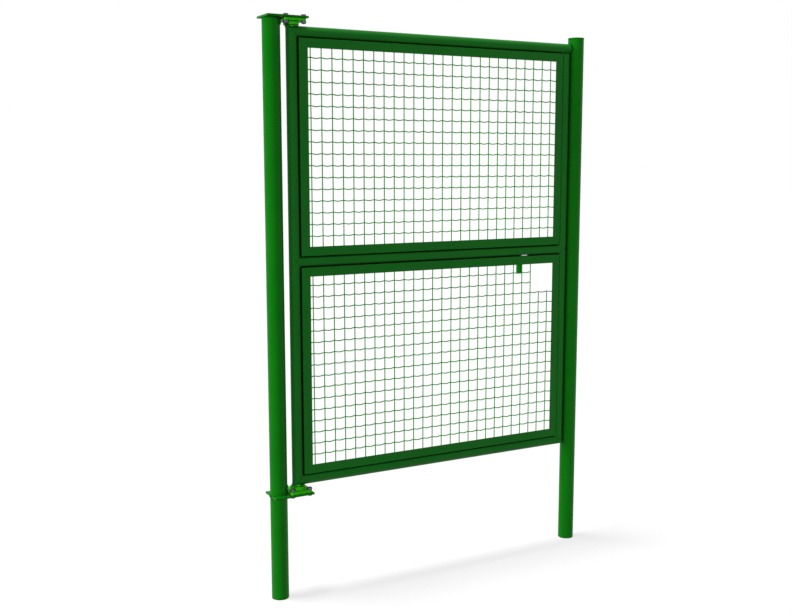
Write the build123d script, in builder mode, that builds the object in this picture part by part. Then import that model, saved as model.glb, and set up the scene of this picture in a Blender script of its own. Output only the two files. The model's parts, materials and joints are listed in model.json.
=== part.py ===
from build123d import *
from math import radians, tan
import os

# Single swing gate between two round posts: a leaf of round tube with two angle frames
# that carry wire mesh, two flange bearings it turns in, and a sliding bolt with a drop handle.
# X runs from the hinge post to the latch post, Y to the back, Z up, in millimetres.
# The origin is the centre of the hinge post's foot.

# Posts
post_diameter = 76.0
post_wall = 3.0
foot_thickness = 4.0
post_cap_thickness = 3.0

# Tube frame of the leaf
tube_diameter = 48.3
tube_wall = 2.6
leaf_width = 1470.0
leaf_height = 1973.0
leaf_above_foot = 500.0
hinge_to_post = 90.0
latch_gap = 6.0
weld_gap = 0.1
rail_cap_thickness = 2.0

# Angle frames that hold the mesh: their legs reach back this far past the middle of the tubes,
# so that the slot of the bolt's handle lies within the leg
angle_past_middle = 16.5
angle_wall = 3.0
angle_edge_radius = 2.2
frame_gap = 0.3
frame_setback = 0.65

# Wire mesh: upright wires behind the angle's front leg, level wires behind those
mesh_pitch = 50.0
wire_size = 3.0
first_wire_inset = 13.3
first_wire_drop = 38.0
wire_tail = 25.0
open_cells = 2

# Hinge plates, flange bearings and pins
hinge_gap = 27.0
plate_thickness = 8.0
plate_width = 120.0
plate_overhang = 5.0
flange_size = 100.0
flange_thickness = 11.0
flange_corner_radius = 10.0
boss_diameter = 66.0
boss_taper = 2.0
boss_chamfer = 1.5
boss_clearance = 1.5
bearing_bolt_pitch = 80.0
bearing_bolt_hole = 13.0
pin_diameter = 30.0
pin_running_clearance = 0.05
pin_end_gap = 2.0
plug_length = 40.0

# Sliding bolt inside the middle rail: a bar with this much space all round it
bolt_space = 9.05
bolt_chamfer = 2.0
bolt_travel = 40.0
bolt_tip_inset = 2.0
bolt_hole_clearance = 0.5
handle_diameter = 26.9
handle_wall = 2.6
handle_drop = 108.5
handle_inset = 248.5
handle_end_thickness = 3.0
handle_slot_clearance = 1.0
guide_length = 15.0
guide_to_handle = 45.0
bolt_tail = 120.0

# Places worked out from the sizes above
post_radius = post_diameter / 2
tube_radius = tube_diameter / 2
bolt_radius = tube_radius - tube_wall - bolt_space
handle_radius = handle_diameter / 2
hinge_x = hinge_to_post
latch_x = hinge_x + leaf_width - tube_diameter
latch_post_x = latch_x + tube_radius + latch_gap + post_radius
leaf_bottom = leaf_above_foot
leaf_top = leaf_bottom + leaf_height
bottom_rail_z = leaf_bottom + tube_radius
top_rail_z = leaf_top - tube_radius
middle_rail_z = (bottom_rail_z + top_rail_z) / 2
frame_front = frame_setback - tube_radius
angle_leg = angle_past_middle - frame_front
frame_left = hinge_x + tube_radius + frame_gap
frame_right = latch_x - tube_radius - frame_gap
frame_width = frame_right - frame_left
frame_height = top_rail_z - middle_rail_z - tube_diameter - 2 * frame_gap
upper_frame_bottom = middle_rail_z + tube_radius + frame_gap
lower_frame_bottom = bottom_rail_z + tube_radius + frame_gap
handle_x = latch_x - handle_inset
bolt_tip_x = latch_x + tube_radius - bolt_tip_inset
upper_plate_z = leaf_top + hinge_gap
post_length = upper_plate_z
lower_plate_z = leaf_bottom - hinge_gap

os.makedirs("parts", exist_ok=True)


def save(piece, name):
    piece.part.label = name
    export_step(piece.part, f"parts/{name}.step")


def ring(place, radius, wall):
    with BuildSketch(place) as section:
        Circle(radius)
        Circle(radius - wall, mode=Mode.SUBTRACT)
    return section.sketch


# Posts: round tubes, closed by a disc at the foot. The bolt enters the latch post by a hole.
def disc(x, z, radius, thickness):
    with BuildPart() as plate:
        with BuildSketch(Plane((x, 0, z))):
            Circle(radius)
        extrude(amount=thickness)
    return plate


with BuildPart() as hinge_post:
    extrude(ring(Plane.XY, post_radius, post_wall), amount=post_length)

with BuildPart() as latch_post:
    extrude(ring(Plane((latch_post_x, 0, 0)), post_radius, post_wall), amount=post_length)
    with BuildSketch(Plane.YZ.offset(latch_post_x)):
        with Locations((0, middle_rail_z)):
            Circle(bolt_radius + bolt_hole_clearance)
    extrude(amount=-post_diameter, mode=Mode.SUBTRACT)

save(hinge_post, "hinge_post")
save(latch_post, "latch_post")
save(disc(0, 0, post_radius - post_wall, foot_thickness), "hinge_post_foot")
save(disc(latch_post_x, 0, post_radius - post_wall, foot_thickness), "latch_post_foot")
save(disc(latch_post_x, post_length, post_radius, post_cap_thickness), "latch_post_cap")


# Leaf tubes: mitred at three corners; at the fourth the top rail runs over the latch stile.
def tube_section(x, z, upright):
    place = Plane((x, 0, z)) if upright else Plane(origin=(x, 0, z), x_dir=(0, 1, 0), z_dir=(1, 0, 0))
    return ring(place, tube_radius, tube_wall)


def mitre(corner, keep_side):
    split(bisect_by=Plane(origin=corner, z_dir=keep_side), keep=Keep.TOP)


top_left_corner = (hinge_x, 0, top_rail_z)
bottom_left_corner = (hinge_x, 0, bottom_rail_z)
bottom_right_corner = (latch_x, 0, bottom_rail_z)

with BuildPart() as hinge_stile:
    extrude(tube_section(hinge_x, leaf_bottom, upright=True), amount=leaf_height)
    mitre(top_left_corner, (-1, 0, -1))
    mitre(bottom_left_corner, (-1, 0, 1))

with BuildPart() as latch_stile:
    extrude(tube_section(latch_x, leaf_bottom, upright=True), amount=leaf_height - tube_diameter)
    mitre(bottom_right_corner, (1, 0, 1))
    with BuildSketch(Plane.YZ.offset(latch_x - tube_diameter)):
        with Locations((0, middle_rail_z)):
            Circle(bolt_radius + bolt_hole_clearance)
    extrude(amount=2 * tube_diameter, mode=Mode.SUBTRACT)

# The top and bottom rails are bored at the hinge corner, where a pin stands through them.
rail_left = hinge_x - tube_radius
top_rail_end = latch_x + tube_radius - rail_cap_thickness
pin_hole_radius = pin_diameter / 2 + weld_gap
with BuildPart() as top_rail:
    extrude(tube_section(rail_left, top_rail_z, upright=False), amount=top_rail_end - rail_left)
    mitre(top_left_corner, (1, 0, 1))
    with BuildSketch(Plane(top_left_corner)):
        Circle(pin_hole_radius)
    extrude(amount=tube_diameter, mode=Mode.SUBTRACT)

with BuildPart() as bottom_rail:
    extrude(tube_section(rail_left, bottom_rail_z, upright=False), amount=leaf_width)
    mitre(bottom_left_corner, (1, 0, -1))
    mitre(bottom_right_corner, (-1, 0, -1))
    with BuildSketch(Plane(bottom_left_corner)):
        Circle(pin_hole_radius)
    extrude(amount=-tube_diameter, mode=Mode.SUBTRACT)

# The middle rail is saddled onto both stiles and slotted below for the bolt's handle.
slot_width = handle_diameter + 2 * handle_slot_clearance
slot_length = slot_width + bolt_travel
slot_x = handle_x + bolt_travel / 2
with BuildPart() as middle_rail:
    extrude(tube_section(hinge_x, middle_rail_z, upright=False), amount=latch_x - hinge_x)
    with BuildSketch(Plane.XY.offset(leaf_bottom)):
        with Locations((hinge_x, 0), (latch_x, 0)):
            Circle(tube_radius + weld_gap)
    extrude(amount=leaf_height, mode=Mode.SUBTRACT)
    with BuildSketch(Plane.XY.offset(middle_rail_z)):
        with Locations((slot_x, 0)):
            SlotOverall(slot_length, slot_width)
    extrude(amount=-tube_diameter, mode=Mode.SUBTRACT)

with BuildPart() as top_rail_end_cap:
    with BuildSketch(Plane.YZ.offset(top_rail_end)):
        with Locations((0, top_rail_z)):
            Circle(tube_radius)
    extrude(amount=rail_cap_thickness)

save(hinge_stile, "hinge_stile")
save(latch_stile, "latch_stile")
save(top_rail, "top_rail")
save(middle_rail, "middle_rail")
save(bottom_rail, "bottom_rail")
save(top_rail_end_cap, "top_rail_end_cap")


# Angle bar: one leg faces the front, the other runs back along the tube; both ends mitred.
# The bar below the middle rail is slotted, where the bolt's handle passes.
def angle_bar(start, along, length, slotted=False):
    place = Plane(origin=start, x_dir=along, z_dir=(0, -1, 0))
    back_leg = (angle_leg, angle_wall, 0)
    front_leg = (angle_wall, angle_leg, angle_leg - angle_wall)
    with BuildPart() as bar:
        for depth, height, offset in (back_leg, front_leg):
            with BuildSketch(place.offset(offset)):
                with BuildLine():
                    Polyline((0, 0), (length, 0), (length - height, height), (height, height), close=True)
                make_face()
            extrude(amount=depth)
        outer_edge = bar.edges().group_by(Axis.Y)[0].sort_by(SortBy.LENGTH)[-1]
        fillet(outer_edge, angle_edge_radius)
        if slotted:
            with BuildSketch(Plane.XY.offset(start[2])):
                with Locations((slot_x, 0)):
                    SlotOverall(slot_length, slot_width)
            extrude(amount=-angle_leg / 2, mode=Mode.SUBTRACT)
    return bar


for level, bottom in (("upper", upper_frame_bottom), ("lower", lower_frame_bottom)):
    back = frame_front + angle_leg
    top = bottom + frame_height
    save(angle_bar((frame_left, back, bottom), (1, 0, 0), frame_width), f"{level}_frame_bottom")
    save(angle_bar((frame_right, back, bottom), (0, 0, 1), frame_height), f"{level}_frame_right")
    save(angle_bar((frame_left, back, top), (0, 0, -1), frame_height), f"{level}_frame_left")
    has_handle = level == "lower"
    save(angle_bar((frame_right, back, top), (-1, 0, 0), frame_width, has_handle), f"{level}_frame_top")


# Mesh: square bars stand for the wires; upright and level wires lie one behind the other.
# The wires are as many as fit the opening, and the hand hole leaves open cells in one corner.
opening_left = frame_left + angle_leg
opening_right = frame_right - angle_leg
opening_height = frame_height - 2 * angle_leg
upright_wires = 1 + int((opening_right - opening_left - first_wire_inset) // mesh_pitch)
level_wires = 1 + int((opening_height - first_wire_drop) // mesh_pitch)
upright_y = frame_front + angle_wall + wire_size / 2
level_y = upright_y + wire_size


def wire_x(column):
    return opening_left + first_wire_inset + column * mesh_pitch


def mesh_panel(frame_bottom, columns, first_row, left, right):
    opening_bottom = frame_bottom + angle_leg
    opening_top = frame_bottom + frame_height - angle_leg
    first_z = opening_top - first_wire_drop
    rows = [first_z - row * mesh_pitch for row in range(first_row, level_wires)]
    low = opening_bottom - wire_tail
    high = rows[0] + wire_size / 2 if first_row else opening_top + wire_tail
    with BuildPart() as panel:
        with BuildSketch(Plane.XY.offset(low)):
            with Locations([(wire_x(column), upright_y) for column in columns]):
                Rectangle(wire_size, wire_size)
        extrude(amount=high - low)
        with BuildSketch(Plane.YZ.offset(left)):
            with Locations([(level_y, z) for z in rows]):
                Rectangle(wire_size, wire_size)
        extrude(amount=right - left)
    return panel


mesh_left = opening_left - wire_tail
mesh_right = opening_right + wire_tail
upper_split = upright_wires // 2
full_wires = upright_wires - open_cells
lower_split = full_wires // 2
upper_joint = wire_x(upper_split) - mesh_pitch / 2
lower_joint = wire_x(lower_split) - mesh_pitch / 2
hole_left = wire_x(full_wires) - mesh_pitch + wire_size / 2
for name, bottom, columns, first_row, left, right in (
    ("upper_mesh_left", upper_frame_bottom, (0, upper_split), 0, mesh_left, upper_joint),
    ("upper_mesh_right", upper_frame_bottom, (upper_split, upright_wires), 0, upper_joint, mesh_right),
    ("lower_mesh_left", lower_frame_bottom, (0, lower_split), 0, mesh_left, lower_joint),
    ("lower_mesh_middle", lower_frame_bottom, (lower_split, full_wires), 0, lower_joint, hole_left),
    ("lower_mesh_right", lower_frame_bottom, (full_wires, upright_wires), open_cells, hole_left, mesh_right),
):
    save(mesh_panel(bottom, range(*columns), first_row, left, right), name)


# Hinge plates: one welded across the hinge post's top, one slipped over it below the leaf.
plate_left = -post_radius
plate_right = hinge_x + flange_size / 2 + plate_overhang


def hinge_plate(z, around_post):
    with BuildPart() as plate:
        with BuildSketch(Plane.XY.offset(z)):
            with Locations(((plate_left + plate_right) / 2, 0)):
                Rectangle(plate_right - plate_left, plate_width)
            with Locations((hinge_x, 0)):
                with GridLocations(bearing_bolt_pitch, bearing_bolt_pitch, 2, 2):
                    Circle(bearing_bolt_hole / 2, mode=Mode.SUBTRACT)
            if around_post:
                Circle(post_radius + weld_gap, mode=Mode.SUBTRACT)
        extrude(amount=plate_thickness)
    return plate


save(hinge_plate(upper_plate_z, around_post=False), "top_hinge_plate")
save(hinge_plate(lower_plate_z - plate_thickness, around_post=True), "bottom_hinge_plate")


# Hinge end: a cast flange bearing bolted to its plate, and a pin that turns in it.
boss_height = hinge_gap - boss_clearance
bore_radius = pin_diameter / 2 + pin_running_clearance


def flange_bearing(place):
    boss_root = boss_diameter / 2
    draft_foot = boss_height - boss_chamfer
    boss_tip = boss_root - (draft_foot - flange_thickness) * tan(radians(boss_taper))
    with BuildPart() as bearing:
        with BuildSketch(place):
            RectangleRounded(flange_size, flange_size, flange_corner_radius)
        extrude(amount=flange_thickness)
        with BuildSketch(Plane(place.origin, place.x_dir, place.x_dir.cross(place.z_dir))):
            with BuildLine():
                Polyline(
                    (0, 0), (boss_root, 0), (boss_root, flange_thickness), (boss_tip, draft_foot),
                    (boss_tip - boss_chamfer, boss_height), (0, boss_height), close=True,
                )
            make_face()
        revolve(axis=Axis(place.origin, place.z_dir))
        with BuildSketch(place):
            Circle(bore_radius)
            with GridLocations(bearing_bolt_pitch, bearing_bolt_pitch, 2, 2):
                Circle(bearing_bolt_hole / 2)
        extrude(amount=boss_height, mode=Mode.SUBTRACT)
    return bearing


# The pin stands through the rail and ends in a plug that fills the stile's bore.
def hinge_pin(place):
    plug_depth = tube_diameter - tube_wall
    with BuildPart() as pin:
        with BuildSketch(place.offset(-plug_depth)):
            Circle(pin_diameter / 2)
        extrude(amount=plug_depth + hinge_gap - pin_end_gap)
        with BuildSketch(place.offset(-plug_depth)):
            Circle(tube_radius - tube_wall - weld_gap)
        extrude(amount=-plug_length)
    return pin


for end, plate_z, leaf_z, outward in (
    ("top", upper_plate_z, leaf_top, 1),
    ("bottom", lower_plate_z, leaf_bottom, -1),
):
    on_plate = Plane(origin=(hinge_x, 0, plate_z), x_dir=(1, 0, 0), z_dir=(0, 0, -outward))
    on_leaf = Plane(origin=(hinge_x, 0, leaf_z), x_dir=(1, 0, 0), z_dir=(0, 0, outward))
    save(flange_bearing(on_plate), f"{end}_bearing")
    save(hinge_pin(on_leaf), f"{end}_pin")

# Bolt: a round bar in the middle rail, guided by a bush and the latch stile's holes.
bolt_left = handle_x - bolt_tail
with BuildPart() as bolt_rod:
    with BuildSketch(Plane.YZ.offset(bolt_left)):
        with Locations((0, middle_rail_z)):
            Circle(bolt_radius)
    extrude(amount=bolt_tip_x - bolt_left)
    chamfer(bolt_rod.faces().sort_by(Axis.X)[-1].edges(), bolt_chamfer)

guide_right = handle_x - guide_to_handle
with BuildPart() as bolt_guide:
    with BuildSketch(Plane.YZ.offset(guide_right)):
        with Locations((0, middle_rail_z)):
            Circle(tube_radius - tube_wall - weld_gap)
            Circle(bolt_radius + bolt_hole_clearance, mode=Mode.SUBTRACT)
    extrude(amount=-guide_length)

# The drop handle is a closed tube welded under the bar.
handle_bottom = middle_rail_z - handle_drop
with BuildPart() as bolt_handle:
    with BuildSketch(Plane((handle_x, 0, handle_bottom))):
        Circle(handle_radius)
    extrude(amount=handle_drop - bolt_radius / 2)
    with BuildSketch(Plane((handle_x, 0, handle_bottom + handle_end_thickness))):
        Circle(handle_radius - handle_wall)
    extrude(amount=handle_drop, mode=Mode.SUBTRACT)
    with BuildSketch(Plane.YZ.offset(handle_x - handle_diameter)):
        with Locations((0, middle_rail_z)):
            Circle(bolt_radius + weld_gap)
    extrude(amount=2 * handle_diameter, mode=Mode.SUBTRACT)

save(bolt_rod, "bolt_rod")
save(bolt_guide, "bolt_guide")
save(bolt_handle, "bolt_handle")
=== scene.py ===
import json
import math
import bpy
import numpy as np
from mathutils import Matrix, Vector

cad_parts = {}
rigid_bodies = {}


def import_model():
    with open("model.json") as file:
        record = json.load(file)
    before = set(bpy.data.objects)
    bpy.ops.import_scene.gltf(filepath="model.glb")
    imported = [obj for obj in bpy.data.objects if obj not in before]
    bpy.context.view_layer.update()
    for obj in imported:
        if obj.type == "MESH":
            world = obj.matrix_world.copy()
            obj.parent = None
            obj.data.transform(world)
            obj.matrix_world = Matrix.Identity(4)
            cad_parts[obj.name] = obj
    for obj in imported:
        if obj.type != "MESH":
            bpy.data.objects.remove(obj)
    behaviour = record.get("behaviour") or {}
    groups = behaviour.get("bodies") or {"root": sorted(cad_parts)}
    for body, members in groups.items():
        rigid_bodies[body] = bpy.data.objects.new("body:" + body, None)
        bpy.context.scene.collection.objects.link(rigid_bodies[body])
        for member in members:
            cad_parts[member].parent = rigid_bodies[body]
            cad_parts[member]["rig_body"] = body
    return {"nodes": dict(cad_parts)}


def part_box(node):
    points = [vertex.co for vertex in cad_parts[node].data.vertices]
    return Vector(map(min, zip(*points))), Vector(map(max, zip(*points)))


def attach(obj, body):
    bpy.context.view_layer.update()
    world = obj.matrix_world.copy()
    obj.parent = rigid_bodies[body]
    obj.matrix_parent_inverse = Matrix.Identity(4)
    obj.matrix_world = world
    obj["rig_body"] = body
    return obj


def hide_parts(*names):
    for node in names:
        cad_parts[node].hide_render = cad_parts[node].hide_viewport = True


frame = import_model()

# %% [markdown]
# A swing gate in painted steel: two round posts, a leaf of round tube, two angle frames that hold
# wire mesh, a hinge with flange bearings and a sliding bolt. The rigid pieces come from the frame
# and stay where they are. This lesson gives them their finish and adds what is too fine for them:
# the round crimped wires, the hexagon bolts and the weld beads. Each new piece is a surface worked
# out with whole arrays, so a wire, a bead and a thread all come from a few short formulas.

MM = 0.001
TURN = 2 * math.pi
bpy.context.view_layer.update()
nodes = frame["nodes"]

# %% [markdown]
# The camera stands to the left of the gate and above its middle. Its place and its angles were
# found by fitting the mesh, whose wires cross every 50 mm, to the picture. The turn and the tilt
# are kept as angles, because they say what the picture shows: the gate is seen about 29 degrees
# from square on, from slightly above. The roll is less than a tenth of a degree.

# %% Camera
PICTURE_WIDTH = 792
SENSOR_WIDTH = 36.0
FOCAL_PIXELS = 1038.4
CAMERA_PLACE = (-1.6562, -4.0987, 1.9019)
CAMERA_TURN, CAMERA_TILT, CAMERA_ROLL = (math.radians(a) for a in (28.678, 7.808, -0.0771))

camera_data = bpy.data.cameras.new("gate_camera")
camera_data.sensor_width = SENSOR_WIDTH
camera_data.lens = FOCAL_PIXELS / PICTURE_WIDTH * SENSOR_WIDTH
camera = bpy.data.objects.new("gate_camera", camera_data)
camera.matrix_world = (
    Matrix.Translation(CAMERA_PLACE)
    @ Matrix.Rotation(-CAMERA_TURN, 4, "Z")
    @ Matrix.Rotation(math.radians(90) - CAMERA_TILT, 4, "X")
    @ Matrix.Rotation(CAMERA_ROLL, 4, "Z")
)
bpy.context.scene.collection.objects.link(camera)
bpy.context.scene.camera = camera
bpy.context.scene.view_settings.view_transform = "Standard"
print("camera at", CAMERA_PLACE, "lens", round(camera_data.lens, 2), "mm")

# %% [markdown]
# Colours are written as hex values, as a paint chart gives them, and the renderer wants linear
# light. One function turns the first into the second. Another adds a shader node with its
# settings and its links, so that each material reads as a short list of what it is made of.

# %% Colour and node helpers
def linear(hex_colour):
    """sRGB hex to linear RGBA: each channel over 255, then the sRGB curve undone."""
    srgb = np.array([int(hex_colour[i:i + 2], 16) for i in (0, 2, 4)]) / 255
    light = np.where(srgb <= 0.04045, srgb / 12.92, ((srgb + 0.055) / 1.055) ** 2.4)
    return (*light, 1.0)


def add_node(tree, kind, links=(), **settings):
    """A shader node of one kind. Links gives its sockets either another node's output or a plain
    value, and the other keywords set its properties."""
    node = tree.nodes.new(kind)
    for name, value in settings.items():
        setattr(node, name, value)
    for socket, source in dict(links).items():
        if isinstance(source, bpy.types.NodeSocket):
            tree.links.new(source, node.inputs[socket])
        else:
            node.inputs[socket].default_value = source
    return node


def new_material(name):
    material = bpy.data.materials.new(name)
    material.use_nodes = True
    material.node_tree.nodes.clear()
    return material, material.node_tree


print("mid grey 808080 is", round(linear("808080")[0], 3), "in linear light")

# %% [markdown]
# The gate stands before pure white, as on a product page. The world is white only to rays from
# the camera and to reflections, and lights the paint with a far weaker grey, so the green keeps
# its depth. The floor does the same and still shows the soft shadow that the gate throws on it.

# %% White surround and pale floor
FLOOR_SIZE = 120.0
AMBIENT = 0.05
FLOOR_BOUNCE = 0.03
FLOOR_PAPER = 0.2
FLOOR_GLOW = 0.77

world = bpy.data.worlds.new("white_surround")
world.use_nodes = True
bpy.context.scene.world = world
tree = world.node_tree
tree.nodes.clear()


def seen_directly(tree):
    """1 for rays from the camera, from a reflection or through glass, and 0 for diffuse light."""
    path = add_node(tree, "ShaderNodeLightPath")
    first = add_node(tree, "ShaderNodeMath", operation="MAXIMUM",
                     links={0: path.outputs["Is Camera Ray"], 1: path.outputs["Is Glossy Ray"]})
    both = add_node(tree, "ShaderNodeMath", operation="MAXIMUM",
                    links={0: first.outputs[0], 1: path.outputs["Is Transmission Ray"]})
    return both.outputs[0]


dim = add_node(tree, "ShaderNodeBackground", links={"Color": (1, 1, 1, 1), "Strength": AMBIENT})
white = add_node(tree, "ShaderNodeBackground", links={"Color": (1, 1, 1, 1), "Strength": 1.0})
pick = add_node(tree, "ShaderNodeMixShader",
                links={0: seen_directly(tree), 1: dim.outputs[0], 2: white.outputs[0]})
add_node(tree, "ShaderNodeOutputWorld", links={"Surface": pick.outputs[0]})

floor_paper, tree = new_material("white_floor_paper")
matt = add_node(tree, "ShaderNodeBsdfDiffuse", links={"Color": (FLOOR_BOUNCE,) * 3 + (1,)})
pale = add_node(tree, "ShaderNodeBsdfDiffuse", links={"Color": (FLOOR_PAPER,) * 3 + (1,)})
glow = add_node(tree, "ShaderNodeEmission", links={"Color": (1, 1, 1, 1), "Strength": FLOOR_GLOW})
paper = add_node(tree, "ShaderNodeAddShader", links={0: pale.outputs[0], 1: glow.outputs[0]})
pick = add_node(tree, "ShaderNodeMixShader",
                links={0: seen_directly(tree), 1: matt.outputs[0], 2: paper.outputs[0]})
add_node(tree, "ShaderNodeOutputMaterial", links={"Surface": pick.outputs[0]})

half = FLOOR_SIZE / 2
floor_mesh = bpy.data.meshes.new("floor")
floor_mesh.from_pydata([(-half, -half, 0), (half, -half, 0), (half, half, 0), (-half, half, 0)],
                       [], [(0, 1, 2, 3)])
floor_mesh.materials.append(floor_paper)
floor = bpy.data.objects.new("floor", floor_mesh)
bpy.context.scene.collection.objects.link(floor)
print("floor", FLOOR_SIZE, "m square, ambient", AMBIENT)

# %% [markdown]
# The key light comes level from the left, a little behind the plane of the gate. From there it
# lights the left sides of both posts: the hinge post shades the stile beside it, but not the latch
# post. A light from almost overhead brightens what faces up. The fill comes from near the camera,
# so faces that turn away from the camera get darker. A weak light from the right, a little behind,
# catches the right edges of the posts.

# %% Key light, overhead light, fill and rim light
def distant_light(name, azimuth, elevation, strength, width):
    """A wide distant lamp, which lights the paint but leaves no bright spot in its gloss.
    Azimuth turns from the front towards the left, in degrees."""
    data = bpy.data.lights.new(name, "SUN")
    data.energy = strength
    data.angle = math.radians(width)
    lamp = bpy.data.objects.new(name, data)
    a, e = math.radians(azimuth), math.radians(elevation)
    towards = Vector((-math.sin(a) * math.cos(e), -math.cos(a) * math.cos(e), math.sin(e)))
    lamp.rotation_euler = towards.to_track_quat("Z", "Y").to_euler()
    lamp.visible_glossy = False
    bpy.context.scene.collection.objects.link(lamp)
    return lamp


distant_light("key_light", azimuth=94, elevation=4, strength=2.25, width=8)
distant_light("overhead_light", azimuth=112, elevation=78, strength=3.6, width=12)
distant_light("fill_light", azimuth=29, elevation=7, strength=1.58, width=15)
distant_light("rim_light", azimuth=-96, elevation=6, strength=1.2, width=10)

# %% [markdown]
# The posts and the leaf are mild steel with a powder coat, a plastic paint baked on in one thick
# layer. It has an even colour, a satin gloss and a faint orange peel, and it rounds sharp edges.
# The peel is bump from noise, drawn at 5 mm, which is about twice its real size, so that it still
# shows in a picture of the whole gate. The tone drifts slightly within half a metre, as the layer
# gets thicker and thinner, and a bevel in the shading rounds the edges of plates and angles. Narrow
# grooves, as between an angle and a tube, get painted shade: the colour goes to near black there.
# An ambient occlusion node finds them: it is 1 at an open point and falls towards 0 where near
# surfaces shut the point in.

# %% Powder coat
PEEL_SIZE = 5.0
PEEL_DEPTH = 0.4
GLOSS_PATCH = 60.0
TONE_SIZE = 450.0
GROOVE_REACH = 22.0
GROOVE_SHUT, GROOVE_OPEN = 0.3, 0.64
# Near black, painted into narrow grooves as shade.
GROOVE_SHADE_COLOUR = "011203"
PAINT_IOR = 1.5
PAINT_ROUGH = (0.40, 0.52)
NOISE_LOW, NOISE_HIGH = 0.3, 0.7


def noise(tree, size_mm, detail=2.0, roughness=0.5):
    """Noise whose lumps are about size_mm wide, fixed to the object."""
    place = add_node(tree, "ShaderNodeTexCoord")
    return add_node(tree, "ShaderNodeTexNoise", links={
        "Vector": place.outputs["Object"], "Scale": 1000 / size_mm,
        "Detail": detail, "Roughness": roughness,
    }).outputs["Fac"]


def spread(tree, factor, low, high):
    """The middle of a noise, where most of it lies, spread over low to high."""
    return add_node(tree, "ShaderNodeMapRange", links={
        "Value": factor, "From Min": NOISE_LOW, "From Max": NOISE_HIGH,
        "To Min": low, "To Max": high,
    }).outputs[0]


def tint(tree, factor, dark, light):
    """A colour that goes from dark to light with factor."""
    # Sockets 6 and 7 of this node are its two colours, and output 2 is the mixed colour.
    mix = add_node(tree, "ShaderNodeMix", data_type="RGBA",
                   links={0: factor, 6: linear(dark), 7: linear(light)})
    return mix.outputs[2]


def powder_coat(name, dark, light, gloss=0.13, peel=0.3, edge_mm=0.8):
    """Baked paint: two close greens, satin, with orange peel and softened edges, and painted shade
    in narrow grooves, where the colour goes to near black."""
    material, tree = new_material(name)
    tone = spread(tree, noise(tree, TONE_SIZE, detail=4), 0.0, 1.0)
    rough = spread(tree, noise(tree, GLOSS_PATCH), *PAINT_ROUGH)
    edge = add_node(tree, "ShaderNodeBevel", links={"Radius": edge_mm * MM}, samples=4)
    # Painted shade: where the occlusion node finds a narrow groove, the colour goes towards near
    # black.
    open_air = add_node(tree, "ShaderNodeAmbientOcclusion", samples=6,
                        links={"Distance": GROOVE_REACH * MM})
    unshaded_share = add_node(tree, "ShaderNodeMapRange", links={
        "Value": open_air.outputs["AO"], "From Min": GROOVE_SHUT, "From Max": GROOVE_OPEN,
    })
    coat = add_node(tree, "ShaderNodeMix", data_type="RGBA", links={
        0: unshaded_share.outputs[0], 6: linear(GROOVE_SHADE_COLOUR), 7: tint(tree, tone, dark, light),
    })
    bump = add_node(tree, "ShaderNodeBump", links={
        "Strength": peel, "Distance": PEEL_DEPTH * MM,
        "Height": noise(tree, PEEL_SIZE), "Normal": edge.outputs[0],
    })
    paint = add_node(tree, "ShaderNodeBsdfPrincipled", links={
        "Base Color": coat.outputs[2], "Roughness": rough,
        "IOR": PAINT_IOR, "Specular IOR Level": gloss, "Normal": bump.outputs[0],
    })
    add_node(tree, "ShaderNodeOutputMaterial", links={"Surface": paint.outputs[0]})
    return material


handle_paint = powder_coat("green_powder_coat_handle", "046e06", "06760a", peel=0.2)
post_paint = powder_coat("green_powder_coat_posts", "056807", "09710a")
leaf_paint = powder_coat("green_powder_coat_leaf", "12651a", "176e1d")
print("powder coats:", handle_paint.name, post_paint.name, leaf_paint.name)

# %% [markdown]
# The mesh is wire in a lighter green plastic coat. It is brighter than the powder coat, and it
# melts to a smooth skin, so it has next to no orange peel. Its bevel is small, as the wire is thin.

# %% Coated wire
wire_coat = powder_coat("green_coated_wire", "0c9c0c", "10a710",
                        gloss=0.1, peel=0.05, edge_mm=0.2)
print("wire:", wire_coat.name)

# %% [markdown]
# The flange bearings are iron castings. They keep the grain of the sand mould, and they were
# painted apart from the gate, in a yellower and brighter green.

# %% Painted castings
SAND_GRAIN = 2.5
SAND_DEPTH = 0.5
SAND_STRENGTH = 0.35
BRUSH_PATCH = 25.0
BRUSH_GLOSS_PATCH = 12.0
CAST_EDGE = 1.5
CAST_ROUGH = (0.42, 0.62)
CAST_GLOSS = 0.2


def painted_casting(name, dark, light):
    """Brushed paint over a sand casting: grainy bump, blotchy tone and little gloss."""
    material, tree = new_material(name)
    tone = spread(tree, noise(tree, BRUSH_PATCH, detail=4), 0.0, 1.0)
    edge = add_node(tree, "ShaderNodeBevel", links={"Radius": CAST_EDGE * MM}, samples=4)
    grain = add_node(tree, "ShaderNodeBump", links={
        "Strength": SAND_STRENGTH, "Distance": SAND_DEPTH * MM,
        "Height": noise(tree, SAND_GRAIN, detail=3, roughness=0.6), "Normal": edge.outputs[0],
    })
    paint = add_node(tree, "ShaderNodeBsdfPrincipled", links={
        "Base Color": tint(tree, tone, dark, light),
        "Roughness": spread(tree, noise(tree, BRUSH_GLOSS_PATCH), *CAST_ROUGH),
        "IOR": PAINT_IOR, "Specular IOR Level": CAST_GLOSS, "Normal": grain.outputs[0],
    })
    add_node(tree, "ShaderNodeOutputMaterial", links={"Surface": paint.outputs[0]})
    return material


casting_paint = painted_casting("bright_green_painted_casting", "2fb80f", "38c612")
print("castings:", casting_paint.name)

# %% [markdown]
# Bolts and nuts are zinc plated and passivated, a blue grey with a violet cast that changes
# slightly from patch to patch. The sliding bar and its bush are bright drawn steel: fine lines run
# along the bar, where the drawing die and the handling have marked it.

# %% Plated and bright steel
PATCH_DETAIL = 3.0
MARK_DEPTH = 0.1
MARK_STRENGTH = 0.2
SMOOTHER, ROUGHER = 0.06, 0.08


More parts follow.
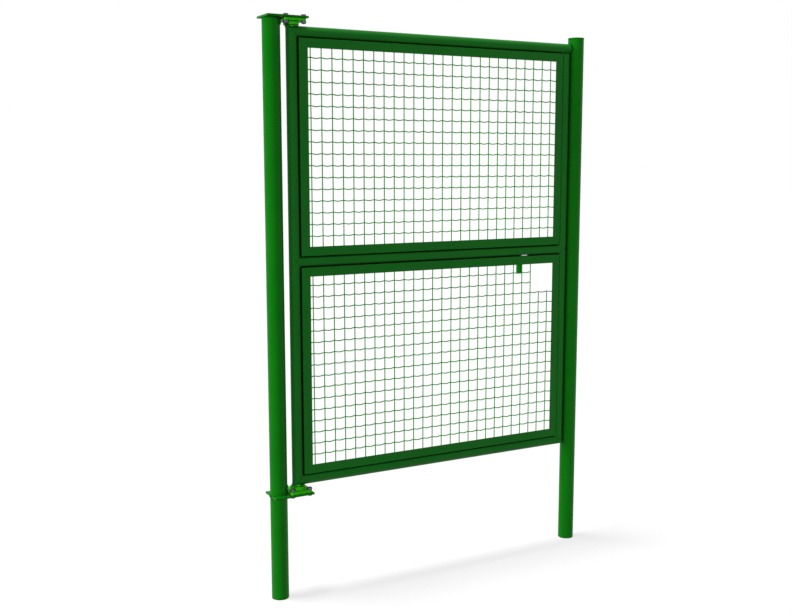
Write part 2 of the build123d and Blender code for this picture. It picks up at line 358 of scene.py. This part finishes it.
def bare_metal(name, dark, light, patch_mm, rough, stretch=(1, 1, 1)):
    """Metal: tone and roughness change from patch to patch, drawn out along stretch."""
    material, tree = new_material(name)
    place = add_node(tree, "ShaderNodeTexCoord")
    drawn = add_node(tree, "ShaderNodeMapping", links={
        "Vector": place.outputs["Object"], "Scale": stretch,
    })
    patches = add_node(tree, "ShaderNodeTexNoise", links={
        "Vector": drawn.outputs[0], "Scale": 1000 / patch_mm, "Detail": PATCH_DETAIL,
    }).outputs["Fac"]
    bump = add_node(tree, "ShaderNodeBump", links={
        "Strength": MARK_STRENGTH, "Distance": MARK_DEPTH * MM, "Height": patches,
    })
    metal = add_node(tree, "ShaderNodeBsdfPrincipled", links={
        "Base Color": tint(tree, spread(tree, patches, 0.0, 1.0), dark, light),
        "Roughness": spread(tree, patches, rough - SMOOTHER, rough + ROUGHER),
        "Metallic": 1.0, "Normal": bump.outputs[0],
    })
    add_node(tree, "ShaderNodeOutputMaterial", links={"Surface": metal.outputs[0]})
    return material


zinc_plate = bare_metal("violet_zinc_plated_steel", "5a5864", "6c6a78", patch_mm=4.0, rough=0.42)
drawn_steel = bare_metal("bright_drawn_steel", "8a8c8e", "a8aaac", patch_mm=1.5, rough=0.3,
                         stretch=(0.05, 1, 1))
print("metals:", zinc_plate.name, drawn_steel.name)

# %% [markdown]
# Each rigid piece takes its finish by its own slot, so the mesh that the frame brings stays as it
# is. The names of the pieces say which paint they get.

# %% Finishes of the rigid pieces
def finish_of(name):
    if name in ("top_bearing", "bottom_bearing", "top_pin", "bottom_pin"):
        return casting_paint
    if name in ("bolt_rod", "bolt_guide"):
        return drawn_steel
    if name == "bolt_handle":
        return handle_paint
    return post_paint if nodes[name]["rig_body"] == "posts" else leaf_paint


for name, node in nodes.items():
    node.data.materials.clear()
    node.data.materials.append(finish_of(name))
print({m.name: sum(n.data.materials[0] == m for n in nodes.values()) for m in
       (post_paint, leaf_paint, casting_paint, handle_paint, drawn_steel)})

# %% [markdown]
# A wire, a weld bead and a rail are all one kind of surface: a ring of points carried along a path.
# The path is an array of points, and at each of them two directions square to it hold the ring. The
# same function takes many paths at once, so a whole layer of wires is a single array. A bolt is
# another kind, a stack of rings about a straight axis, whose radius may change round the ring.

# %% Surfaces from arrays
def unit(vectors):
    return vectors / np.linalg.norm(vectors, axis=-1, keepdims=True)


def ring_faces(copies, rings, sides, closed):
    """Quads that join each ring to the next, then one lid at each open end, for every copy."""
    ring = np.arange(rings if closed else rings - 1)[:, None]
    side = np.arange(sides)[None, :]
    after, beside = (ring + 1) % rings, (side + 1) % sides
    here, there = ring * sides, after * sides
    corners = (here + side, here + beside, there + beside, there + side)
    quads = np.stack(np.broadcast_arrays(*corners), axis=-1).reshape(-1, 4)
    first = np.arange(copies) * rings * sides
    faces = (first[:, None, None] + quads).reshape(-1, 4).tolist()
    if not closed:
        start = np.arange(sides)[::-1]
        end = (rings - 1) * sides + np.arange(sides)
        faces += (first[:, None] + start).tolist() + (first[:, None] + end).tolist()
    return faces


def tubes(paths, across, radius, sides, closed=False):
    """Round bars along paths, an array of copies by points by three.
    A point of the surface is the path's point, plus radius times the cosine of the angle along
    across, plus radius times its sine along the direction square to both across and the path."""
    paths = np.asarray(paths, float)
    if closed:
        run = np.roll(paths, -1, axis=1) - np.roll(paths, 1, axis=1)
    else:
        run = np.gradient(paths, axis=1)
    run = unit(run)
    over = unit(np.cross(run, np.broadcast_to(across, paths.shape)))
    out = np.cross(over, run)
    angle = np.arange(sides) * TURN / sides
    size = np.broadcast_to(radius, paths.shape[:2])[..., None, None]
    ring = np.cos(angle)[:, None] * out[:, :, None] + np.sin(angle)[:, None] * over[:, :, None]
    points = paths[:, :, None] + size * ring
    return points.reshape(-1, 3), ring_faces(*paths.shape[:2], sides, closed)


def stack(radii, heights, place, up=1):
    """Rings about an upright axis at place: radii is an array of rings by sides, and up is 1 or
    -1, which turns the whole stack over. A point is its radius at its angle, at its height."""
    radii = np.asarray(radii, float)
    angle = np.arange(radii.shape[1]) * TURN / radii.shape[1]
    x = radii * np.cos(angle)
    y = radii * np.sin(angle) * up
    z = np.broadcast_to(np.asarray(heights, float)[:, None] * up, radii.shape)
    points = np.stack((x, y, z), axis=-1).reshape(-1, 3) + np.array(place)
    return points, ring_faces(1, *radii.shape, False)


def make_piece(name, parts, material, body, smooth_deg=40):
    """One object from several surfaces, joined end to end, smooth but for its real edges."""
    starts = np.cumsum([0] + [len(points) for points, faces in parts[:-1]])
    points = np.concatenate([points for points, faces in parts])
    faces = [[int(start) + i for i in face]
             for start, (_, own_faces) in zip(starts, parts) for face in own_faces]
    mesh = bpy.data.meshes.new(name)
    mesh.from_pydata(points.tolist(), [], faces)
    mesh.materials.append(material)
    mesh.shade_smooth()
    mesh.set_sharp_from_angle(angle=math.radians(smooth_deg))
    piece = bpy.data.objects.new(name, mesh)
    bpy.context.scene.collection.objects.link(piece)
    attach(piece, body)
    print(name, "has", len(points), "points and", len(faces), "faces")
    return piece


# %% [markdown]
# The mesh is wire, welded at 50 mm pitch and then coated. The upright wires are straight. The
# level ones are crimped: between two uprights each dips by a few millimetres and comes back, so a
# row reads as a garland. A dip is one minus a cosine, which is zero at the crossings. The angle
# frame's box says where the opening is, and the first wire's inset and the pitch give the rest.
# The wires end behind the angle's front leg, and a small tack of weld holds each end there, which
# shows from behind. A tack and the nugget at a crossing are the same short, blunt tube.

# %% Wire mesh
PITCH = 50 * MM
WIRE = 4.6 * MM
LEVEL_WIRE = 5.0 * MM
UPRIGHT_POINTS = 4
CRIMP = 3.4 * MM
CRIMP_STEPS = 6
WIRE_SIDES = 6
WIRE_LAP = 0.46
NUGGET = 2.9 * MM
NUGGET_STEPS = np.array([-1, -0.55, 0.55, 1])
NUGGET_WIDTHS = np.array([0.45, 1, 1, 0.45])
OPEN_CELLS = 2
FIRST_INSET = 13.3 * MM
FIRST_DROP = 38 * MM
LEG = 40 * MM
LEG_WALL = 3 * MM
TAIL = 25 * MM


def opening_of(level):
    """The clear opening inside an angle frame: left, right, bottom and top."""
    low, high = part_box(f"{level}_frame_bottom")
    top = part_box(f"{level}_frame_top")[1].z
    return low.x + LEG, high.x - LEG, low.z + LEG, top - LEG


def nuggets(x, y, z):
    """Short blunt tubes that point to the front, one for each place: the outer two of their four
    rings are under half as wide as the inner two."""
    centres = np.stack(np.broadcast_arrays(x, y, z), axis=-1).reshape(-1, 1, 3)
    paths = centres + NUGGET * NUGGET_STEPS[:, None] * np.array((0, 1, 0))
    size = np.broadcast_to(NUGGET * NUGGET_WIDTHS, paths.shape[:2])
    return tubes(paths, (0, 0, 1), size, WIRE_SIDES)


def wire_mesh(level, hand_hole):
    """All wires of one frame. The hand hole leaves OPEN_CELLS by OPEN_CELLS cells open at the top
    right."""
    left, right, bottom, top = opening_of(level)
    column_count = int((right - left - FIRST_INSET) // PITCH) + 1
    row_count = int((top - bottom - FIRST_DROP) // PITCH) + 1
    columns = left + FIRST_INSET + PITCH * np.arange(column_count)
    rows = top - FIRST_DROP - PITCH * np.arange(row_count)
    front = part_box(f"{level}_frame_top")[0].y + LEG_WALL + WIRE / 2
    back = front + WIRE_LAP * WIRE
    short = len(columns) - OPEN_CELLS if hand_hole else len(columns)
    low_rows = np.arange(len(rows)) >= (OPEN_CELLS if hand_hole else 0)

    tops = np.where(np.arange(len(columns)) < short, top + TAIL, rows[OPEN_CELLS] + WIRE / 2)
    share = np.linspace(0, 1, UPRIGHT_POINTS)
    z = (bottom - TAIL) + share * (tops[:, None] - bottom + TAIL)
    uprights = np.stack(np.broadcast_arrays(columns[:, None], front, z), axis=-1)
    parts = [tubes(uprights, (0, -1, 0), WIRE / 2, WIRE_SIDES)]

    def level_wires(heights, end):
        cells = int(round((end - columns[0]) / PITCH)) + 2
        x = columns[0] - PITCH + np.arange(cells * CRIMP_STEPS + 1) * PITCH / CRIMP_STEPS
        x = x[(x > left - TAIL) & (x < end)]
        x = np.concatenate(([left - TAIL], x, [end]))
        dip = CRIMP / 2 * (1 - np.cos((x - columns[0]) * TURN / PITCH))
        path = np.stack(np.broadcast_arrays(x, back, heights[:, None] - dip), axis=-1)
        return tubes(path, (0, -1, 0), LEVEL_WIRE / 2, WIRE_SIDES)

    parts.append(level_wires(rows[low_rows], right + TAIL))
    if hand_hole:
        parts.append(level_wires(rows[~low_rows], columns[short - 1] + WIRE / 2))

    here = np.arange(len(columns))[:, None] < short
    cross_x, cross_z = np.meshgrid(columns, rows, indexing="ij")
    keep = here | low_rows[None, :]
    parts.append(nuggets(cross_x[keep], (front + back) / 2, cross_z[keep]))
    tack = TAIL / 2
    parts += [nuggets(columns[:short], front, top + tack), nuggets(columns, front, bottom - tack),
              nuggets(left - tack, back, rows), nuggets(right + tack, back, rows[low_rows])]
    print(level, len(columns), "upright wires,", len(rows), "level wires,", keep.sum(), "crossings")
    return parts


upper_wires = wire_mesh("upper", hand_hole=False)
lower_wires = wire_mesh("lower", hand_hole=True)
upper_mesh = make_piece("upper_wire_mesh", upper_wires, wire_coat, "leaf")
lower_mesh = make_piece("lower_wire_mesh", lower_wires, wire_coat, "leaf")
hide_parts("upper_mesh_left", "upper_mesh_right")
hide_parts("lower_mesh_left", "lower_mesh_middle", "lower_mesh_right")

# %% [markdown]
# Four M12 bolts hold each bearing to its plate, with the heads outside and the nuts on the
# casting. A hexagon is a ring whose radius is the half width over the cosine of the angle from the
# nearest flat, and its chamfer is a cone that cuts the corners: the smaller of the two radii
# counts. The thread is a ring whose radius rises and falls once per turn, a real helix.

# %% Bolts and nuts
BOLT = 12 * MM
FLATS = 19 * MM
HEAD_HEIGHT = 7.5 * MM
NUT_HEIGHT = 10.8 * MM
THREAD_PITCH = 1.75 * MM
THREAD_DEPTH = 1.07 * MM
BOLT_SPACING = 80 * MM
FLANGE_THICKNESS = 11 * MM
END_GAP = 3.5 * MM
HEX_SIDES = 36
HEAD_RINGS = 9
NUT_RINGS = 13
CHAMFER_ACROSS = 0.95 * FLATS
CHAMFER_SLOPE = math.tan(math.radians(30))
THREAD_SIDES = 18
THREAD_RINGS = 6
TIP_PITCHES = 1.2
TIP_DEPTH = 0.9


def hexagon(height, rings, both_ends):
    """Radii and heights of a hexagon chamfered at 30 degrees on its outer end, or on both."""
    z = np.linspace(0, height, rings)
    angle = np.arange(HEX_SIDES) * TURN / HEX_SIDES
    flat = FLATS / 2 / np.cos((angle + TURN / 12) % (TURN / 6) - TURN / 12)
    edge = np.minimum(height - z, z) if both_ends else height - z
    cone = CHAMFER_ACROSS / 2 + edge / CHAMFER_SLOPE
    return np.minimum(flat[None, :], cone[:, None]), z


def thread(length):
    """Radii and heights of a screw thread: a triangle wave of the height in pitches minus the
    turn, which fades into a blunt tip."""
    z = np.arange(0, length, THREAD_PITCH / THREAD_RINGS)
    turn = np.arange(THREAD_SIDES) / THREAD_SIDES
    wave = np.abs(2 * ((z[:, None] / THREAD_PITCH - turn[None, :]) % 1) - 1)
    tip = np.clip((length - z) / (TIP_PITCHES * THREAD_PITCH), 0, 1)[:, None]
    return BOLT / 2 - THREAD_DEPTH * (wave * tip + TIP_DEPTH * (1 - tip)), z


def bolt_set(place, head_z, nut_z, end_z, up):
    """One bolt with its nut at place (x, y). Up is 1 where the head is on top."""
    x, y = place
    radii, z = hexagon(HEAD_HEIGHT, HEAD_RINGS, both_ends=False)
    parts = [stack(radii, z, (x, y, head_z), up)]
    radii, z = hexagon(NUT_HEIGHT, NUT_RINGS, both_ends=True)
    parts.append(stack(radii, z, (x, y, nut_z), -up))
    radii, z = thread(abs(end_z - nut_z))
    parts.append(stack(radii, z, (x, y, nut_z), -up))
    return parts


for end, up in (("top", 1), ("bottom", -1)):
    plate_low, plate_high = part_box(f"{end}_hinge_plate")
    flange_low, flange_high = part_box(f"{end}_bearing")
    centre = (flange_low + flange_high) / 2
    head_z = plate_high.z if up > 0 else plate_low.z
    nut_z = flange_high.z - FLANGE_THICKNESS if up > 0 else flange_low.z + FLANGE_THICKNESS
    leaf_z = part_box("hinge_stile")[1 if up > 0 else 0].z
    half = BOLT_SPACING / 2
    places = [(centre.x + i * half, centre.y + j * half) for i in (-1, 1) for j in (-1, 1)]
    parts = [part for place in places
             for part in bolt_set(place, head_z, nut_z, leaf_z + up * END_GAP, up)]
    make_piece(f"{end}_bearing_bolts", parts, zinc_plate, "posts", smooth_deg=30)

# %% [markdown]
# The tubes are arc welded and painted over. A bead is a low, rippled ridge: a tube 1 to 4 mm in
# radius that follows the seam, half sunk in the metal, whose size swells and shrinks once for each
# drop of metal. The seam itself is the line where two surfaces meet, which a formula gives: a ring
# at a plate, a slanted ellipse at a mitre and a saddle where one tube runs into another. Short
# straight stitches join the angle frames to the tubes.

# %% Weld beads
RIPPLE = 3.0 * MM
RIPPLE_DEPTH = 0.12
STEPS_PER_RIPPLE = 5
FEWEST_STEPS = 8
BEAD_SIDES = 8
BEAD_END = 0.3
TUBE_BEAD = 2.2 * MM
PLATE_BEAD = 3.2 * MM
PLATE_BEAD_OFF = 0.5 * MM
STITCH_BEAD = 3.5 * MM
CAP_BEAD = 1.3 * MM
STITCH = 32 * MM
STITCH_END = 60 * MM
STITCH_ASIDE = 3.4 * MM
STITCH_SUNK = 2.0 * MM
STITCHES_UP = 4
STITCHES_ACROSS = 5
STITCH_POINTS = 9
SEAM_POINTS = 180
SADDLE_LEAN = 0.3


def even_steps(path, outward, closed):
    """The path's points and outward directions again, spaced evenly, a few for each ripple."""
    rows = np.hstack((path, outward))
    rows = np.vstack((rows, rows[:1])) if closed else rows
    steps = np.linalg.norm(np.diff(rows[:, :3], axis=0), axis=1)
    along = np.concatenate(([0], np.cumsum(steps)))
    count = max(FEWEST_STEPS, int(along[-1] / RIPPLE) * STEPS_PER_RIPPLE)
    want = np.linspace(0, along[-1], count, endpoint=not closed)
    even = np.stack([np.interp(want, along, column) for column in rows.T], axis=-1)
    return even[:, :3], even[:, 3:], want


def bead(path, outward, radius, closed=True):
    """A bead along path. Its radius is the given one, times 1 plus a small cosine wave for each
    ripple, and an open bead tapers at both ends."""
    points, ways, along = even_steps(path, outward, closed)
    wave = 1 + RIPPLE_DEPTH * np.cos(along / RIPPLE * TURN)
    if not closed:
        from_end = np.minimum(along, along[-1] - along)
        wave = wave * np.clip(from_end / (2 * radius) + BEAD_END, 0, 1)
    return tubes(points[None], ways[None], (radius * wave)[None], BEAD_SIDES, closed)


angle = np.linspace(0, TURN, SEAM_POINTS + 1)[:-1]
sine, cosine = np.sin(angle), np.cos(angle)
TUBE = (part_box("hinge_stile")[1].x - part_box("hinge_stile")[0].x) / 2
POST = (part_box("hinge_post")[1].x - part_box("hinge_post")[0].x) / 2


def ring_seam(x, z, radius):
    """A level ring round an upright tube."""
    path = np.stack((x + radius * cosine, radius * sine, np.full_like(angle, z)), axis=-1)
    return path, np.stack((cosine, sine, 0 * sine), axis=-1)


def mitre_seam(x, z, slant):
    """The ellipse where two tubes meet at 45 degrees: the height follows x, times slant."""
    side = np.stack((TUBE * sine, TUBE * cosine, slant * TUBE * sine), axis=-1)
    return side + np.array((x, 0, z)), unit(side)


def saddle_seam(x, z, branch):
    """Where a tube runs square into another as thick, away in the direction branch, (x, z). The
    seam goes round the through tube, and stands off its axis by the radius times the size of
    the sine."""
    away = np.array((branch[0], 0, branch[1]))
    through = np.array((-branch[1], 0, branch[0]))
    round_tube = cosine[:, None] * (0, 1, 0) + sine[:, None] * through
    off = TUBE * (round_tube + np.abs(sine)[:, None] * away)
    return off + np.array((x, 0, z)), unit(off + SADDLE_LEAN * TUBE * away)


def stitch_seams(level):
    """Short beads behind an angle frame, in the groove between its legs and the tubes, at even
    steps along each side."""
    low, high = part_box(f"{level}_frame_bottom")[0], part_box(f"{level}_frame_top")[1]
    half = np.linspace(-STITCH / 2, STITCH / 2, STITCH_POINTS)
    seams = []
    for x in (low.x - STITCH_ASIDE, high.x + STITCH_ASIDE):
        for z in np.linspace(low.z + STITCH_END, high.z - STITCH_END, STITCHES_UP):
            seams.append(np.stack(np.broadcast_arrays(x, high.y - STITCH_SUNK, z + half), axis=-1))
    for z in (low.z - STITCH_ASIDE, high.z + STITCH_ASIDE):
        for x in np.linspace(low.x + STITCH_END, high.x - STITCH_END, STITCHES_ACROSS):
            seams.append(np.stack(np.broadcast_arrays(x + half, high.y - STITCH_SUNK, z), axis=-1))
    return [(path, np.broadcast_to((0.0, 1.0, 0.0), path.shape)) for path in seams]


hinge_x = sum(c.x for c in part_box("hinge_stile")) / 2
latch_x = sum(c.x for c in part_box("latch_stile")) / 2
rails = ("top_rail", "middle_rail", "bottom_rail")
rail_z = {name: sum(c.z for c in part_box(name)) / 2 for name in rails}

leaf_seams = [
    mitre_seam(hinge_x, rail_z["top_rail"], -1),
    mitre_seam(hinge_x, rail_z["bottom_rail"], 1),
    mitre_seam(latch_x, rail_z["bottom_rail"], -1),
    saddle_seam(hinge_x, rail_z["middle_rail"], (1, 0)),
    saddle_seam(latch_x, rail_z["middle_rail"], (-1, 0)),
    saddle_seam(latch_x, rail_z["top_rail"], (0, -1)),
]
parts = [bead(path, outward, TUBE_BEAD) for path, outward in leaf_seams]
end_round = np.stack((0 * sine, cosine, sine), axis=-1)
end_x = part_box("top_rail_end_cap")[0].x
parts.append(bead(end_round * TUBE + np.array((end_x, 0, rail_z["top_rail"])), end_round, CAP_BEAD))
make_piece("leaf_tube_welds", parts, leaf_paint, "leaf")

parts = [bead(path, outward, STITCH_BEAD, closed=False)
         for level in ("upper", "lower") for path, outward in stitch_seams(level)]
make_piece("frame_stitch_welds", parts, leaf_paint, "leaf")

plate_seams = [(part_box("top_hinge_plate")[0].z, -1), (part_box("bottom_hinge_plate")[1].z, 1),
               (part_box("bottom_hinge_plate")[0].z, -1)]
parts = [bead(*ring_seam(0, z + PLATE_BEAD_OFF * side, POST + PLATE_BEAD_OFF), PLATE_BEAD)
         for z, side in plate_seams]
make_piece("hinge_plate_welds", parts, post_paint, "posts")

cap_low, cap_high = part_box("latch_post_cap")
cap_seam = ring_seam((cap_low.x + cap_high.x) / 2, cap_low.z, POST)
make_piece("latch_post_cap_weld", [bead(*cap_seam, CAP_BEAD)], post_paint, "posts")
